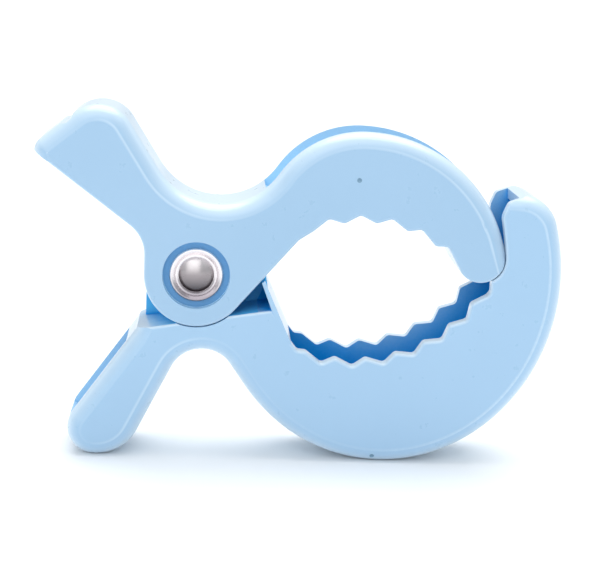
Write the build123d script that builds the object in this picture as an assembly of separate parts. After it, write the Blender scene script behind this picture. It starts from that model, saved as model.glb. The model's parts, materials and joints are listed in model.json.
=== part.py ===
from build123d import *
import os
from math import acos, atan2, cos, degrees, hypot, radians, sin

# A sprung clip: two toothed arms on one rivet, pushed shut by a torsion spring.
# Outlines are drawn in the XZ plane in millimetres, x counted from the pivot and z
# from the surface that the clip stands on. The front is -Y. Each part is moved by
# CENTRE_SHIFT as it is written, which puts the origin under the middle of the clip.

# Driving dimensions
HALF_WIDTH = 9.0             # half the clip's thickness along Y
PLATE = 3.5                  # side plates of both arms
JAW_SLOT = 6.5               # half the gap between the lower jaw's plates, which are thinner
SLOT = HALF_WIDTH - PLATE    # half the gap between the side plates
WEB = 3.0                    # walls that join the side plates
OUTER_ROUND = 3.0            # rounding of the outer edges
CRISP_ROUND = 0.5            # rounding of ears, ledges and teeth
GAP = 0.15                   # clearance between faces that move past each other
PIVOT = (0.0, 36.6)
CENTRE_SHIFT = -19.915

# Pivot hardware
PIN_R = 2.0
PIN_FIT = 0.05               # radial clearance of the pin in the arms' ears
SEAT_R = 6.5                 # counterbore round each washer
SEAT_FLOOR = 7.4             # its floor, from the middle of the clip
WASHER_R = 5.15
CUP_FLOOR = 7.7              # floor of the washer's cup
CUP_R = 3.45
HEAD_R = 3.4
HEAD_TOP = 8.8

# Ears
EAR_R = 10.0                 # upper arm's round ears
HOLLOW_R = 11.0              # hollow between them
INNER_EAR_R = 9.0            # lower arm's ears, inside the upper arm's
INNER_EAR_LOW = 2.9
INNER_EAR_HIGH = 5.2

# Spring
WIRE = 1.0
COIL_R = 3.4                 # middle of the wire, from the pivot
COIL_PITCH = 1.07
COIL_TURNS = 3
LOWER_LEG_TURN = -45.0       # where the leg on the lower arm leaves the coil
LOWER_LEG = 9.5
UPPER_LEG_TURN = 40.5        # where the leg on the upper arm leaves it
UPPER_LEG = 19.2

# Upper arm's back: a straight handle side, then arcs that meet without a corner
SADDLE = (3.9, 64.0)
SADDLE_R = 13.8
SHOULDER = (31.5, 45.5)
SHOULDER_R = hypot(SHOULDER[0] - SADDLE[0], SHOULDER[1] - SADDLE[1]) - SADDLE_R
BACK_R = 28.9
BACK = (31.5, SHOULDER[1] + SHOULDER_R - BACK_R)
SADDLE_TURN = 360 + degrees(atan2(SHOULDER[1] - SADDLE[1], SHOULDER[0] - SADDLE[0]))
BACK_END = 17.0              # where the jaw's back meets the tip
THUMB_GROOVE = (-26.1, 0.0, 66.8)     # shallow groove across the handle's end
THUMB_GROOVE_R = 2.2
NECK_R = 7.0                 # between the handle's underside and the ear
NECK = (-EAR_R - NECK_R, 40.28)
NECK_TURN = 53.4
EAR_TURN = 319.7             # where the ear meets the underside of the jaw
TIP = (54.7, 41.5)           # round end of the upper jaw
TIP_R = 4.7

# Teeth: waves about two centres, by the angles of their crests and roots
TOOTH_ROUND = 1.0
UPPER_TEETH = (31.9, 22.7)
UPPER_CREST_R = 25.1
UPPER_ROOT_R = 26.5
UPPER_CRESTS = [113.0 - 14.1 * k for k in range(6)]
UPPER_ROOTS = [105.0 - 13.2 * k for k in range(5)]
LOWER_TEETH = (30.04, 50.1)
LOWER_CREST_R = 29.2
LOWER_ROOT_R = 30.8
LOWER_CRESTS = [-106.9 + 11.65 * k for k in range(7)]
LOWER_ROOTS = [-100.0 + 11.5 * k for k in range(7)]

# Lower arm
SWEEP_R = 59.8               # inner face of the lower tip, about the pivot
LIP_TURN = 11.5              # where that face leaves the circle
LIP_END = (59.5, 52.5)
BELLY = (37.0, 37.0)         # ellipse of the lower jaw's back
BELLY_A = 34.0
BELLY_B = 37.0
LOWER_TOP = 54.0             # top of the lower tip
TIP_SHOULDER_R = 8.0
ARCH_REACH = 16.3            # from the end of the ellipse to the corner over the arch
LEDGE_LEFT = (-40.0, 20.9)   # ledge that the upper arm's ears stand over
LEDGE_RIGHT = (14.9, 30.2)
WALL_TOP = (13.2, 35.9)      # the thin wall's face towards the eye
WALL_FOOT = (18.7, 23.8)


# ---------------------------------------------------------------- drawing helpers

def polar(centre, radius, angle):
    """The point at an angle in degrees on a circle."""
    turn = radians(angle)
    return (centre[0] + radius * cos(turn), centre[1] + radius * sin(turn))


def arc(centre, radius, start, end):
    """The arc from one angle to another about a centre."""
    middle = (start + end) / 2
    return ThreePointArc(*[polar(centre, radius, a) for a in (start, middle, end)])


def lines(*points):
    """Straight edges from point to point."""
    return [Line(a, b) for a, b in zip(points, points[1:])]


def leave(centre, radius, angle, reach):
    """The point at a distance along the tangent from an angle on a circle."""
    start = polar(centre, radius, angle)
    turn = radians(angle + 90)
    return (start[0] + reach * cos(turn), start[1] + reach * sin(turn))


def touch_angle(point, centre, radius):
    """The angle on a circle whose tangent passes through a point, anticlockwise of it."""
    across, up = point[0] - centre[0], point[1] - centre[1]
    return degrees(atan2(up, across) + acos(radius / hypot(across, up))) % 360


def belly(inset, start, size):
    """The ellipse of the lower jaw's back, inset by a wall, from an angle by a turn."""
    return EllipticalCenterArc(
        BELLY, BELLY_A - inset, BELLY_B - inset, start_angle=start, arc_size=size
    )


def wave(centre, crest_r, root_r, crests, roots):
    """Points of a wavy edge: crests and roots in turn."""
    points = []
    for crest, root in zip(crests, roots):
        points += [polar(centre, crest_r, crest), polar(centre, root_r, root)]
    return points + [polar(centre, crest_r, angle) for angle in crests[len(roots):]]


def toothed(*points):
    """A run of edges with every corner rounded as the teeth are."""
    return FilletPolyline(*points, radius=TOOTH_ROUND).edges()


def slab(edges, low=-HALF_WIDTH, high=HALF_WIDTH):
    """A closed outline drawn out along Y from low to high."""
    face = Plane.XZ * make_face(Wire(edges))
    return Pos(0, high, 0) * extrude(face, amount=high - low)


def disc(radius, low, high):
    """A round disc about the pivot, from low to high along Y."""
    face = Plane.XZ * (Pos(*PIVOT) * Circle(radius))
    return Pos(0, high, 0) * extrude(face, amount=high - low)


def round_rims(body, radius):
    """Rounds the edges of the two side faces."""
    rims = [edge for face in body.faces().filter_by(Axis.Y) for edge in face.edges()]
    return fillet(rims, radius)


def round_corner(body, x, z, radius):
    """Rounds the corner edge that runs along Y at x, z."""
    corner = body.edges().filter_by(Axis.Y).sort_by_distance((x, 0, z))[0]
    return fillet(corner, radius)


# ---------------------------------------------------------------- upper arm

def upper_back():
    """Everything inside the upper arm's outer edges, which are well rounded."""
    left = (-31.9, 60.1)
    right = (-17.4, 71.8)
    turn = touch_angle(right, SADDLE, SADDLE_R)
    edges = lines((-14.0, 22.0), left, right, polar(SADDLE, SADDLE_R, turn))
    edges.append(arc(SADDLE, SADDLE_R, turn, SADDLE_TURN))
    edges.append(arc(SHOULDER, SHOULDER_R, SADDLE_TURN - 180, 90))
    edges.append(arc(BACK, BACK_R, 90, BACK_END))
    edges += lines(polar(BACK, BACK_R, BACK_END), leave(BACK, BACK_R, BACK_END, -20))
    edges += lines(leave(BACK, BACK_R, BACK_END, -20), (64.0, 10.0), (-14.0, 10.0), (-14.0, 22.0))
    body = round_corner(slab(edges), *left, 3.0)
    body = round_corner(body, *right, 7.0)
    return round_rims(body, OUTER_ROUND)


def upper_front():
    """Everything inside the upper arm's crisp edges: handle, neck, ear, teeth, tip."""
    far = leave(NECK, NECK_R, NECK_TURN, 36)
    ear_end = polar(PIVOT, EAR_R, EAR_TURN)
    jaw_start = leave(PIVOT, EAR_R, EAR_TURN, 18.2)
    teeth = wave(UPPER_TEETH, UPPER_CREST_R, UPPER_ROOT_R, UPPER_CRESTS, UPPER_ROOTS)
    edges = [Line(far, polar(NECK, NECK_R, NECK_TURN)), arc(NECK, NECK_R, NECK_TURN, 0)]
    edges.append(Line(polar(NECK, NECK_R, 0), (-EAR_R, PIVOT[1])))
    edges.append(arc(PIVOT, EAR_R, 180, EAR_TURN))
    edges += toothed(ear_end, jaw_start, *teeth, leave(TIP, TIP_R, 225, -0.5), polar(TIP, TIP_R, 225))
    edges.append(arc(TIP, TIP_R, 225, 360))
    edges += lines(polar(TIP, TIP_R, 360), (59.4, 52.0), (70.0, 62.0), (70.0, 90.0))
    edges += lines((70.0, 90.0), (-45.0, 90.0), far)
    return round_rims(slab(edges), CRISP_ROUND)


def handle_hollow():
    """The hollow of the upper handle, open towards the lower one, and of the ears."""
    corner = (-16.5, 66.0)
    turn = touch_angle(corner, SADDLE, SADDLE_R + WEB)
    edges = lines((-20.0, 40.0), (-33.6, 54.0), (-29.0, 58.6), (-19.0, 66.7), corner)
    edges.append(Line(corner, polar(SADDLE, SADDLE_R + WEB, turn)))
    edges.append(arc(SADDLE, SADDLE_R + WEB, turn, 250))
    edges += lines(polar(SADDLE, SADDLE_R + WEB, 250), PIVOT, (-20.0, 40.0))
    return slab(edges, -SLOT, SLOT) + disc(HOLLOW_R, -SLOT, SLOT)


def jaw_groove():
    """The groove along the upper jaw's back."""
    floor_r = UPPER_ROOT_R + WEB
    edges = lines((12.0, 58.0), (13.0, 52.5), polar(UPPER_TEETH, floor_r, 112))
    edges.append(arc(UPPER_TEETH, floor_r, 112, 52))
    edges += lines(polar(UPPER_TEETH, floor_r, 52), (53.5, 41.6), (56.0, 42.2), (56.0, 46.0))
    edges += lines((56.0, 46.0), (62.0, 58.0), (40.0, 74.0), (12.0, 58.0))
    return slab(edges, -SLOT, SLOT)


def upper_arm():
    """The upper arm: one moulding with handle, ears and toothed jaw."""
    arm = upper_back() & upper_front()
    arm -= Pos(*THUMB_GROOVE) * Rot(90, 0, 0) * Cylinder(THUMB_GROOVE_R, 2 * HALF_WIDTH)
    arm -= handle_hollow()
    arm -= jaw_groove()
    arm -= disc(PIN_R + PIN_FIT, -HALF_WIDTH, HALF_WIDTH)
    arm -= disc(SEAT_R, SEAT_FLOOR, HALF_WIDTH)
    arm -= disc(SEAT_R, -HALF_WIDTH, -SEAT_FLOOR)
    return arm


# ---------------------------------------------------------------- lower arm

def lower_back():
    """Everything inside the lower arm's outer edges, which are well rounded."""
    back = belly(0, 15, -157.6)
    rise = (LOWER_TOP - (back @ 0).Y) / (back % 0).Y
    top = back @ 0 + (back % 0) * rise
    arch = back @ 1 + (back % 1) * ARCH_REACH
    edges = list(FilletPolyline((45.0, LOWER_TOP), top, back @ 0, radius=TIP_SHOULDER_R).edges())
    edges.append(back)
    corners = [arch, (-13.3, 0.0), (-29.4, 0.0), (-10.6, 26.4)]
    radii = [6.6, 8.8, 5.3, 6.0]
    edges += FilletPolyline(back @ 1, *corners, (-10.6, 60.0), radius=radii).edges()
    edges += lines((-10.6, 60.0), (45.0, 60.0), (45.0, LOWER_TOP))
    return round_rims(slab(edges), OUTER_ROUND)


def lower_front():
    """Everything inside the lower arm's crisp edges: ledge, teeth and inner tip."""
    teeth = wave(LOWER_TEETH, LOWER_CREST_R, LOWER_ROOT_R, LOWER_CRESTS, LOWER_ROOTS)
    reach = hypot(TIP[0] - PIVOT[0], TIP[1] - PIVOT[1])
    turn = degrees(atan2(TIP[1] - PIVOT[1], TIP[0] - PIVOT[0]))
    notch_r = SWEEP_R - reach
    notch = arc(TIP, notch_r, -62, turn)
    lip = polar(PIVOT, SWEEP_R, LIP_TURN)
    edges = [Line(LEDGE_LEFT, LEDGE_RIGHT)]
    edges += toothed(LEDGE_RIGHT, WALL_FOOT, (19.9, 22.3), *teeth, (57.0, 35.0), notch @ 0)
    edges += [notch, arc(PIVOT, SWEEP_R, turn, LIP_TURN)]
    flare = [leave(PIVOT, SWEEP_R, LIP_TURN, 1.2), LIP_END, (64.0, 54.2)]
    edges += FilletPolyline(lip, *flare, radius=[2.5, 1.2]).edges()
    edges += lines((64.0, 54.2), (64.0, 70.0), (80.0, 70.0), (80.0, -10.0))
    edges += lines((80.0, -10.0), (-40.0, -10.0), LEDGE_LEFT)
    return round_rims(slab(edges), CRISP_ROUND)


def jaw_channel():
    """The channel of the lower jaw, open towards the teeth."""
    back = belly(WEB, 11, -144)
    edges = lines((45.0, 58.0), (61.4, 58.0), (61.8, 51.3), (65.2, 48.6), tuple(back @ 0)[:2])
    edges.append(back)
    edges += lines(back @ 1, (9.8, 21.2), (9.8, 25.6), (15.2, 26.9), (17.6, 23.3), (19.0, 24.3))
    edges += lines((19.0, 24.3), (24.0, 32.0), (45.0, 50.7), (45.0, 58.0))
    return slab(edges, -JAW_SLOT, JAW_SLOT)


def handle_channel():
    """The channel of the lower handle, open towards the upper one."""
    edges = lines((-6.4, 24.0), (-6.4, 20.5), (-13.3, 6.7))
    edges.append(ThreePointArc((-13.3, 6.7), (-15.8, 4.0), (-19.0, 3.2)))
    edges += lines((-19.0, 3.2), (-22.0, 6.0), (-30.0, 10.0), (-22.0, 25.0), (-13.5, 22.6))
    edges.append(Line((-13.5, 22.6), (-6.4, 24.0)))
    return slab(edges, -SLOT, SLOT)


def thin_wall():
    """The thin wall between the eye and the pivot."""
    edges = lines(WALL_FOOT, WALL_TOP, (12.65, 35.45), (15.0, 29.4), (17.6, 23.3), WALL_FOOT)
    return slab(edges)


def inner_ears():
    """The lower arm's two ears, and the guard that closes one side of the pivot."""
    neck = [(-4.5, 25.0), (4.5, 25.0), (4.5, 36.0), (-4.5, 36.0), (-4.5, 25.0)]
    ears = slab(lines(*neck), -INNER_EAR_HIGH, -INNER_EAR_LOW)
    ears += disc(INNER_EAR_R, -INNER_EAR_HIGH, -INNER_EAR_LOW)
    ears += disc(INNER_EAR_R, INNER_EAR_LOW, INNER_EAR_HIGH)
    guard = [(-9.9, 25.0), (15.0, 28.5), (12.9, 33.9), (11.6, 33.6), (10.6, 32.6)]
    guard += [(9.0, 35.0), (-9.0, 35.0), (-9.9, 31.0)]
    ears += slab(lines(*guard, guard[0]), INNER_EAR_LOW, INNER_EAR_HIGH)
    return ears


def lower_arm():
    """The lower arm: one moulding with handle, inner ears and toothed jaw."""
    arm = lower_back() & lower_front()
    arm -= jaw_channel()
    arm -= handle_channel()
    arm -= disc(EAR_R + GAP, INNER_EAR_HIGH, HALF_WIDTH)
    arm -= disc(EAR_R + GAP, -HALF_WIDTH, -INNER_EAR_HIGH)
    arm += thin_wall()
    arm += inner_ears()
    arm -= disc(PIN_R + PIN_FIT, -HALF_WIDTH, HALF_WIDTH)
    return arm


# ---------------------------------------------------------------- pivot hardware

def turned(points, side):
    """A ring or a stud turned about the pivot, on the front (-1) or back (+1)."""
    ring = revolve(Plane.XY * make_face(Wire(lines(*points, points[0]))), Axis.Y)
    if side < 0:
        ring = mirror(ring, about=Plane.XZ)
    return Pos(0, 0, PIVOT[1]) * ring


def rivet():
    """The rivet: a pin with a low dome at each end."""
    pin = disc(PIN_R, -CUP_FLOOR, CUP_FLOOR)
    rise = HEAD_TOP - CUP_FLOOR
    ball = (HEAD_R ** 2 + rise ** 2) / (2 * rise)
    for side in (-1, 1):
        dome = Pos(0, side * (HEAD_TOP - ball), PIVOT[1]) * Sphere(ball)
        if side > 0:
            cap = disc(HEAD_R, CUP_FLOOR, HEAD_TOP)
        else:
            cap = disc(HEAD_R, -HEAD_TOP, -CUP_FLOOR)
        pin += dome & cap
    return pin


def washer(side):
    """A cup washer: a dished flange, a raised ring, and a cup for the rivet's head."""
    points = [(PIN_R, SEAT_FLOOR), (WASHER_R, SEAT_FLOOR), (WASHER_R, 8.1), (4.95, 8.3)]
    points += [(4.7, 8.3), (4.15, 8.05), (3.95, 8.45), (3.65, 8.45), (CUP_R, 8.3)]
    points += [(CUP_R, CUP_FLOOR), (PIN_R, CUP_FLOOR)]
    return turned(points, side)


def torsion_spring():
    """The spring: a coil round the pin, with one leg on each arm."""
    turns = COIL_TURNS + (UPPER_LEG_TURN - LOWER_LEG_TURN) / 360
    height = COIL_PITCH * turns
    line = Rot(0, 0, LOWER_LEG_TURN) * Helix(COIL_PITCH, height, COIL_R)
    lower_leg = Line(line @ 0 - (line % 0) * LOWER_LEG, line @ 0)
    upper_leg = Line(line @ 1, line @ 1 + (line % 1) * UPPER_LEG)
    path = Wire([lower_leg.edge(), line.edge(), upper_leg.edge()])
    start = Plane(origin=path @ 0, z_dir=path % 0)
    spring = sweep(start * Circle(WIRE / 2), path=path, is_frenet=True)
    return Plane.XZ.offset(-height / 2) * Pos(*PIVOT) * spring


if __name__ == "__main__":
    os.makedirs("parts", exist_ok=True)
    parts = {"upper_arm": upper_arm(), "lower_arm": lower_arm(), "pivot_rivet": rivet()}
    parts["front_washer"] = washer(-1)
    parts["rear_washer"] = washer(1)
    parts["torsion_spring"] = torsion_spring()
    for name, shape in parts.items():
        export_step(Pos(CENTRE_SHIFT, 0, 0) * shape, f"parts/{name}.step")
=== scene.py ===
import json
from math import cos, pi, radians, sin

import bpy
from mathutils import Matrix, Vector


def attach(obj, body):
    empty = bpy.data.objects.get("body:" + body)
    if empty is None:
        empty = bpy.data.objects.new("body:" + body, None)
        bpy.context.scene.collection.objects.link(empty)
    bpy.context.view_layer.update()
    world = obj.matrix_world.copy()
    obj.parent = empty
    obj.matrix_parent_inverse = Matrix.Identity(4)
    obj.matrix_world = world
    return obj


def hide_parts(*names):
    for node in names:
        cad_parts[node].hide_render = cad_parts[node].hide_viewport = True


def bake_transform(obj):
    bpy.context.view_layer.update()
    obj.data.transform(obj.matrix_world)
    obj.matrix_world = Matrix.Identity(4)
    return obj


# A sprung plastic clip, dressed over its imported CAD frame. Metres; the front is -Y.

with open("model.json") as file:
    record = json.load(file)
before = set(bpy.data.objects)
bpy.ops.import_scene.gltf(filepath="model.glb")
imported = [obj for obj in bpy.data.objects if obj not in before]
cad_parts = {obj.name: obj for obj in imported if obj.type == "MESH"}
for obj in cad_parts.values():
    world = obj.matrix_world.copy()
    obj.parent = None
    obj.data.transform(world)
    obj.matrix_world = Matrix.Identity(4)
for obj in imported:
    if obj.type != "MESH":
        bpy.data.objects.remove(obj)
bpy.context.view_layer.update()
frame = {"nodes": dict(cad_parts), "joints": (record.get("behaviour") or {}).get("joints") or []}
scene = bpy.context.scene
scene.view_settings.view_transform = "Standard"

MM = 0.001
PIVOT = Vector(frame["joints"][0]["pos_m"])
SIDE = 9.0 * MM              # outer side faces, from the middle
EDGE_R = 3.0 * MM            # rounding of the arms' outer edges

HOLLOW_REACH = 22 * MM       # how far a wall still closes a place in, for the painted shade and glow
HANDLE_BLEND = 4 * MM        # width over which the painted shade gives way inside the handles
SEAT_BLEND = 0.15 * MM       # width of the edge of the painted shade round the pivot
SIDE_SKIN = (8.45 * MM, 8.60 * MM)        # from the middle, where the side faces begin and the painted shade round the pivot stops
LEDGE_HEIGHTS = (26.2 * MM, 27.0 * MM)    # below these the painted shade round the pivot ends


# ---------------------------------------------------------------- materials

def material(name):
    """An empty node material with its shader and the object's own coordinates."""
    mat = bpy.data.materials.new(name)
    mat.use_nodes = True
    tree = mat.node_tree
    shader = tree.nodes["Principled BSDF"]
    place = tree.nodes.new("ShaderNodeTexCoord").outputs["Object"]
    return mat, tree, shader, place


def noise(tree, place, scale, detail=3.0, roughness=0.5):
    """A noise texture's value."""
    node = tree.nodes.new("ShaderNodeTexNoise")
    node.inputs["Scale"].default_value = scale
    node.inputs["Detail"].default_value = detail
    node.inputs["Roughness"].default_value = roughness
    tree.links.new(place, node.inputs["Vector"])
    return node.outputs["Fac"]


def span(tree, value, low, high, to_low, to_high):
    """A value stretched from one range to another, and held inside it."""
    node = tree.nodes.new("ShaderNodeMapRange")
    for key, number in zip(("From Min", "From Max", "To Min", "To Max"), (low, high, to_low, to_high)):
        node.inputs[key].default_value = number
    tree.links.new(value, node.inputs["Value"])
    return node.outputs["Result"]


def ramp(tree, value, stops):
    """Colours along a value."""
    node = tree.nodes.new("ShaderNodeValToRGB")
    while len(node.color_ramp.elements) < len(stops):
        node.color_ramp.elements.new(0.5)
    for element, (position, colour) in zip(node.color_ramp.elements, stops):
        element.position = position
        element.color = (*colour, 1)
    tree.links.new(value, node.inputs["Fac"])
    return node.outputs["Color"]


def mix(tree, factor, first, second, kind="MIX"):
    """Two colours mixed by a factor."""
    node = tree.nodes.new("ShaderNodeMix")
    node.data_type = "RGBA"
    node.blend_type = kind
    tree.links.new(factor, node.inputs["Factor"])
    tree.links.new(first, node.inputs["A"])
    tree.links.new(second, node.inputs["B"])
    return node.outputs["Result"]


def bump(tree, shader, height, strength, distance, normal=None):
    """A bump on the shader's normal."""
    node = tree.nodes.new("ShaderNodeBump")
    node.inputs["Strength"].default_value = strength
    node.inputs["Distance"].default_value = distance
    tree.links.new(height, node.inputs["Height"])
    if normal:
        tree.links.new(normal, node.inputs["Normal"])
    tree.links.new(node.outputs["Normal"], shader.inputs["Normal"])
    return node.outputs["Normal"]


def combine(tree, operation, first, second):
    """Two values joined by a maths operation."""
    node = tree.nodes.new("ShaderNodeMath")
    node.operation = operation
    tree.links.new(first, node.inputs[0])
    tree.links.new(second, node.inputs[1])
    return node.outputs["Value"]


def unsigned(tree, value):
    """A value without its sign."""
    node = tree.nodes.new("ShaderNodeMath")
    node.operation = "ABSOLUTE"
    tree.links.new(value, node.inputs[0])
    return node.outputs["Value"]


def split(tree, vector):
    """The X, Y and Z parts of a vector."""
    node = tree.nodes.new("ShaderNodeSeparateXYZ")
    tree.links.new(vector, node.inputs["Vector"])
    return node.outputs


def openness_of(tree):
    """How open a place is: low in narrow hollows, high out in the open."""
    node = tree.nodes.new("ShaderNodeAmbientOcclusion")
    node.samples = 12
    node.only_local = True
    node.inputs["Distance"].default_value = HOLLOW_REACH
    return node.outputs["AO"]


def outside_seat(tree, at, seat_r):
    """The mask of the painted shade round the pivot: 0 within seat_r of the pivot, between the side
    faces and above the ledge; 1 elsewhere.
    """
    flat = tree.nodes.new("ShaderNodeCombineXYZ")
    tree.links.new(at["X"], flat.inputs["X"])
    tree.links.new(at["Z"], flat.inputs["Z"])
    reach = tree.nodes.new("ShaderNodeVectorMath")
    reach.operation = "DISTANCE"
    reach.inputs[1].default_value = PIVOT
    tree.links.new(flat.outputs["Vector"], reach.inputs[0])
    beyond = span(tree, reach.outputs["Value"], seat_r - SEAT_BLEND, seat_r, 0, 1)
    under_ledge = span(tree, at["Z"], *LEDGE_HEIGHTS, 1, 0)
    side_face = span(tree, unsigned(tree, at["Y"]), *SIDE_SKIN, 0, 1)
    return combine(tree, "MAXIMUM", combine(tree, "MAXIMUM", beyond, under_ledge), side_face)


def painted_rim_light(tree, facing, face, pale):
    """The face colour with painted highlights: paler on tops and rounded rims, with a fine painted
    highlight line where a rim begins, stronger on rims that face right.
    """
    upward = span(tree, facing["Z"], 0.05, 0.90, 0, 0.85)
    flatness = unsigned(tree, facing["Y"])
    rim = span(tree, flatness, 0.55, 0.985, 0.60, 0)
    line_in = span(tree, flatness, 0.975, 0.990, 0, 1)
    line_out = span(tree, flatness, 0.993, 0.999, 1, 0)
    rightward = span(tree, facing["X"], -0.04, 0.10, 0.08, 0.34)
    line = combine(tree, "MULTIPLY", combine(tree, "MINIMUM", line_in, line_out), rightward)
    rounded = mix(tree, combine(tree, "MAXIMUM", upward, rim), face, pale)
    return mix(tree, line, rounded, pale)


def plastic(name, closed, handle_x, seat_r, seat_shade_tone, tint=1.0):
    """Glossy light-blue plastic with painted light. Painted shade: a darker, stronger blue, and less
    shine, where it is closed in; the range closed says how open a place is where the painted shade
    ends.
    Left of handle_x the inside gets no painted shade, and round the pivot it gets a painted shade of
    its own.
    Half-shaded places get a painted glow, and tops and rims a painted highlight."""
    mat, tree, shader, place = material(name)
    at = split(tree, place)
    facing = split(tree, place.node.outputs["Normal"])
    openness = openness_of(tree)
    drift = noise(tree, place, 30, 3)

    face = ramp(tree, drift, [
        (0.30, (0.300 * tint, 0.475 * tint, 0.655 * tint)),
        (0.70, (0.314 * tint, 0.489 * tint, 0.670 * tint)),
    ])
    # Painted light, in the next four colours: a painted highlight for tops and rims, a painted glow
    # for half-shaded places, painted shade for hollows, and painted shade round the pivot.
    pale = ramp(tree, drift, [(0.30, (0.68, 0.80, 0.89)), (0.70, (0.72, 0.83, 0.91))])
    glow_blue = ramp(tree, drift, [(0.30, (0.42, 0.72, 0.95)), (0.70, (0.44, 0.74, 0.97))])
    shade_blue = ramp(tree, drift, [(0.30, (0.000, 0.305, 0.735)), (0.70, (0.002, 0.330, 0.765))])
    seat_shade_blue = ramp(tree, drift, [(0.30, seat_shade_tone), (0.70, [1.04 * part for part in seat_shade_tone])])

    # No painted shade inside the handles.
    in_handle = span(tree, at["X"], handle_x - HANDLE_BLEND, handle_x, 0.95, 0)
    lit = combine(tree, "MAXIMUM", span(tree, openness, *closed, 0, 1), in_handle)
    off_seat = outside_seat(tree, at, seat_r)
    edged = painted_rim_light(tree, facing, face, pale)
    # Painted glow: half-shaded places are made a lighter blue.
    outside = mix(tree, span(tree, openness, 0.45, 0.80, 0.9, 0), edged, glow_blue)
    # Painted shade: closed-in places turn a darker, stronger blue.
    body = mix(tree, lit, shade_blue, outside)
    # Painted shade round the pivot, inside the side faces and above the ledge.
    tree.links.new(mix(tree, off_seat, seat_shade_blue, body), shader.inputs["Base Color"])

    wear = noise(tree, place, 420, 5, 0.6)
    tree.links.new(span(tree, wear, 0.3, 0.7, 0.27, 0.31), shader.inputs["Roughness"])
    soft = bump(tree, shader, noise(tree, place, 90, 1), 0.012, 0.10 * MM)
    bump(tree, shader, noise(tree, place, 2600, 3), 0.008, 0.02 * MM, soft)
    # Less shine where the painted shade lies.
    open_air = combine(tree, "MINIMUM", lit, off_seat)
    tree.links.new(span(tree, open_air, 0, 1, 0.0, 0.5), shader.inputs["Specular IOR Level"])
    tree.links.new(span(tree, open_air, 0, 1, 0.0, 0.35), shader.inputs["Coat Weight"])
    shader.inputs["Coat Roughness"].default_value = 0.15
    return mat


def gate_plastic(name):
    """The duller, darker plastic of a gate mark."""
    mat, tree, shader, place = material(name)
    grain = noise(tree, place, 1500, 3)
    tone = ramp(tree, grain, [(0.3, (0.10, 0.20, 0.30)), (0.7, (0.20, 0.34, 0.46))])
    tree.links.new(tone, shader.inputs["Base Color"])
    tree.links.new(span(tree, grain, 0.3, 0.7, 0.5, 0.7), shader.inputs["Roughness"])
    bump(tree, shader, grain, 0.2, 0.03 * MM)
    return mat


def metal(name, tones, rough, scale, radius=0.0, low=0.10):
    """Bright metal with faint haze and a fine grain. With a radius, a painted reflection darkens it
    from that far below the pivot, at brightness low, and thins out to that far above: dark
    surroundings below and bright ones above, painted in."""
    mat, tree, shader, place = material(name)
    haze = noise(tree, place, scale, 5, 0.6)
    colour = ramp(tree, haze, [(0.3, tones[0]), (0.7, tones[1])])
    if radius:
        height = span(tree, split(tree, place)["Z"], PIVOT.z - radius, PIVOT.z + radius, 0, 1)
        # Painted reflection: darker towards the bottom, as dark surroundings below would show in the
        # metal.
        painted_reflection = ramp(tree, height, [
            (0.10, (low, low * 0.9, low)),
            (0.50, (low * 2 + 0.14, low * 2 + 0.11, low * 2 + 0.12)),
            (0.90, (0.85, 0.82, 0.83)),
        ])
        reflection_amount = span(tree, haze, 0, 1, 0.9, 1.0)
        colour = mix(tree, reflection_amount, colour, painted_reflection, "MULTIPLY")
    tree.links.new(colour, shader.inputs["Base Color"])
    tree.links.new(span(tree, haze, 0.3, 0.7, *rough), shader.inputs["Roughness"])
    shader.inputs["Metallic"].default_value = 1.0
    bump(tree, shader, noise(tree, place, scale * 4, 4), 0.10, 0.02 * MM)
    return mat


# The two arms' materials set where their painted shade lies, and the tone of the painted shade round
# the pivot.
UPPER_BLUE = plastic(
    "light_blue_plastic_upper", closed=(-0.20, 0.15), handle_x=-40 * MM,
    seat_r=6.5 * MM, seat_shade_tone=(0.15, 0.34, 0.59),
)
LOWER_BLUE = plastic(
    "light_blue_plastic_lower", closed=(0.40, 0.72), handle_x=-30 * MM,
    seat_r=14 * MM, seat_shade_tone=(0.10, 0.48, 0.84), tint=1.06,
)
GATE_BLUE = gate_plastic("shaded_blue_gate_mark")
# The rivet and washers carry a painted reflection, dark below and bright above.
RIVET_METAL = metal(
    "nickel_plated_rivet", [(0.76, 0.74, 0.74), (0.90, 0.88, 0.88)],
    rough=(0.26, 0.36), scale=900, radius=3.4 * MM,
)
WASHER_METAL = metal(
    "nickel_plated_washer", [(0.88, 0.86, 0.87), (0.97, 0.95, 0.95)],
    rough=(0.18, 0.30), scale=900, radius=5.2 * MM, low=0.32,
)
SPRING_METAL = metal(
    "spring_steel_wire", [(0.34, 0.34, 0.35), (0.50, 0.50, 0.52)],
    rough=(0.24, 0.40), scale=700,
)


# ---------------------------------------------------------------- CAD nodes and gate marks

def dress(node, mat):
    """Gives every slot of a CAD node one material."""
    for entry in frame["nodes"][node].material_slots:
        entry.material = mat


dress("upper_arm", UPPER_BLUE)
dress("lower_arm", LOWER_BLUE)
dress("pivot_rivet", RIVET_METAL)
dress("front_washer", WASHER_METAL)
dress("rear_washer", WASHER_METAL)

GATE_R = 0.45 * MM
GATE_DEPTH = 0.06 * MM
UPPER_GATE_X = PIVOT.x + 30.4 * MM
UPPER_GATE_Z = 56.0 * MM
LOWER_GATE_X = PIVOT.x + 35.5 * MM
LOWER_GATE_TURN = 33.0       # degrees round the rounding of the lower edge, from the side face


def gate_mark(name, place, tilt, body):
    """The small round mark that moulding leaves, facing the front or tilted down from it."""
    bpy.ops.mesh.primitive_cylinder_add(radius=GATE_R, depth=GATE_DEPTH, vertices=32)
    mark = bpy.context.object
    mark.name = name
    mark.rotation_euler = (radians(90 + tilt), 0, 0)
    mark.location = place
    mark.data.materials.append(GATE_BLUE)
    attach(mark, body)


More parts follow.
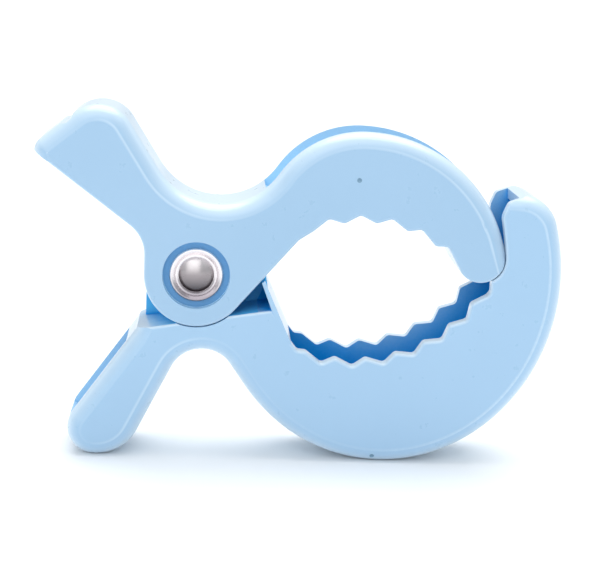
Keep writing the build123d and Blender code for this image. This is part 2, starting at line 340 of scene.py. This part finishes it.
def on_lower_edge(x, turn):
    """A place on the rounded lower edge of the front side face."""
    spin = radians(turn)
    return x, -SIDE + EDGE_R * (1 - cos(spin)), EDGE_R * (1 - sin(spin))


gate_mark("gate_mark_upper", (UPPER_GATE_X, -SIDE, UPPER_GATE_Z), 0, "upper_body")
gate_mark(
    "gate_mark_lower", on_lower_edge(LOWER_GATE_X, LOWER_GATE_TURN), LOWER_GATE_TURN, "lower_body"
)


# ---------------------------------------------------------------- spring

WIRE_R = 0.5 * MM
COIL_R = 3.4 * MM            # to the wire's middle line
PITCH = 1.07 * MM
WHOLE_TURNS = 3
LOWER_TURN = -45.0           # where the coil leaves for each leg, in degrees from +X towards +Z
UPPER_TURN = 40.5 + WHOLE_TURNS * 360
LOWER_LEG = 9.5 * MM
UPPER_LEG = 19.2 * MM
COIL_STEPS = 180
LOWER_LEG_STEPS = 8
UPPER_LEG_STEPS = 12


def coil_point(turn):
    """A point of the coil's middle line, at a turn in degrees from +X towards +Z."""
    along = PITCH * (turn - (LOWER_TURN + UPPER_TURN) / 2) / 360
    return PIVOT + Vector((COIL_R * cos(radians(turn)), -along, COIL_R * sin(radians(turn))))


def coil_way(turn):
    """The direction of the coil's middle line at a turn, the way the turn grows."""
    spin = radians(turn)
    return Vector((-COIL_R * sin(spin), -PITCH / (2 * pi), COIL_R * cos(spin))).normalized()


def spring_line():
    """The wire's middle line: a leg, the coil, a leg."""
    sweep = UPPER_TURN - LOWER_TURN
    coil = [coil_point(LOWER_TURN + sweep * i / COIL_STEPS) for i in range(COIL_STEPS + 1)]
    first = -coil_way(LOWER_TURN)
    last = coil_way(UPPER_TURN)
    lower = [
        coil[0] + first * LOWER_LEG * i / LOWER_LEG_STEPS for i in range(LOWER_LEG_STEPS, 0, -1)
    ]
    upper = [
        coil[-1] + last * UPPER_LEG * i / UPPER_LEG_STEPS for i in range(1, UPPER_LEG_STEPS + 1)
    ]
    return lower + coil + upper


def tube(name, line, radius, sides=14):
    """A round wire along a line, with closed ends."""
    verts, faces = [], []
    for i, point in enumerate(line):
        ahead = (line[min(i + 1, len(line) - 1)] - line[max(i - 1, 0)]).normalized()
        across = ahead.cross(Vector((0, 1, 0))).normalized()
        up = across.cross(ahead)
        for k in range(sides):
            turn = 2 * pi * k / sides
            verts.append(point + radius * (cos(turn) * across + sin(turn) * up))
    for i in range(len(line) - 1):
        for k in range(sides):
            a, b = i * sides + k, i * sides + (k + 1) % sides
            faces.append((a, b, b + sides, a + sides))
    faces.append(tuple(range(sides))[::-1])
    faces.append(tuple(range(len(verts) - sides, len(verts))))
    mesh = bpy.data.meshes.new(name)
    mesh.from_pydata([v[:] for v in verts], [], faces)
    mesh.polygons.foreach_set("use_smooth", [len(f) == 4 for f in faces])
    wire = bpy.data.objects.new(name, mesh)
    scene.collection.objects.link(wire)
    return wire


spring = tube("spring_wire", spring_line(), WIRE_R)
spring.data.materials.append(SPRING_METAL)
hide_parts("torsion_spring")
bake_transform(spring)


# ---------------------------------------------------------------- floor, light, camera

FLOOR_SIZE = 60.0


def floor():
    """A plain pale floor."""
    bpy.ops.mesh.primitive_plane_add(size=FLOOR_SIZE)
    plane = bpy.context.object
    plane.name = "floor"
    mat, tree, shader, place = material("pale_floor")
    tone = ramp(tree, noise(tree, place, 3), [(0.3, (0.93, 0.94, 0.95)), (0.7, (0.94, 0.95, 0.96))])
    tree.links.new(tone, shader.inputs["Base Color"])
    shader.inputs["Roughness"].default_value = 0.6
    plane.data.materials.append(mat)


def lamp(name, place, aim, size, power):
    """A square soft light that faces a point."""
    data = bpy.data.lights.new(name, "AREA")
    data.size = size
    data.energy = power
    lamp_object = bpy.data.objects.new(name, data)
    lamp_object.location = place
    lamp_object.rotation_euler = (Vector(aim) - Vector(place)).to_track_quat("-Z", "Y").to_euler()
    scene.collection.objects.link(lamp_object)


def sun(name, place, spread, strength):
    """A broad soft light from far away, from the direction of a point."""
    data = bpy.data.lights.new(name, "SUN")
    data.angle = radians(spread)
    data.energy = strength
    sun_object = bpy.data.objects.new(name, data)
    sun_object.rotation_euler = Vector(place).to_track_quat("Z", "Y").to_euler()
    scene.collection.objects.link(sun_object)


def sky(strength):
    """An even white sky."""
    world = bpy.data.worlds.new("studio")
    scene.world = world
    world.use_nodes = True
    back = world.node_tree.nodes["Background"]
    back.inputs["Color"].default_value = (0.93, 0.97, 1.0, 1)
    back.inputs["Strength"].default_value = strength


def camera(azimuth, elevation, roll, lens, place):
    """A camera at a place, by the direction it looks from and its roll."""
    turn, lift, tilt = radians(azimuth), radians(elevation), radians(roll)
    back = Vector((sin(turn) * cos(lift), -cos(turn) * cos(lift), sin(lift)))
    right = Vector((cos(turn), sin(turn), 0))
    up = back.cross(right)
    across = cos(tilt) * right + sin(tilt) * up
    above = -sin(tilt) * right + cos(tilt) * up
    data = bpy.data.cameras.new("camera")
    data.lens = lens
    data.sensor_width = 36
    data.sensor_fit = "HORIZONTAL"
    eye = bpy.data.objects.new("camera", data)
    eye.matrix_world = Matrix((across, above, back)).transposed().to_4x4()
    eye.location = place
    scene.collection.objects.link(eye)
    scene.camera = eye


floor()
sky(strength=0.72)
sun("overhead", place=(0.10, 0.25, 1.0), spread=60, strength=2.2)
lamp("front", place=(-0.35, -1.40, 0.75), aim=(0, 0, 0.03), size=1.5, power=7.6)
camera(azimuth=-3.38, elevation=12, roll=2.4, lens=93.2, place=(-0.01681, -0.3027, 0.0967))
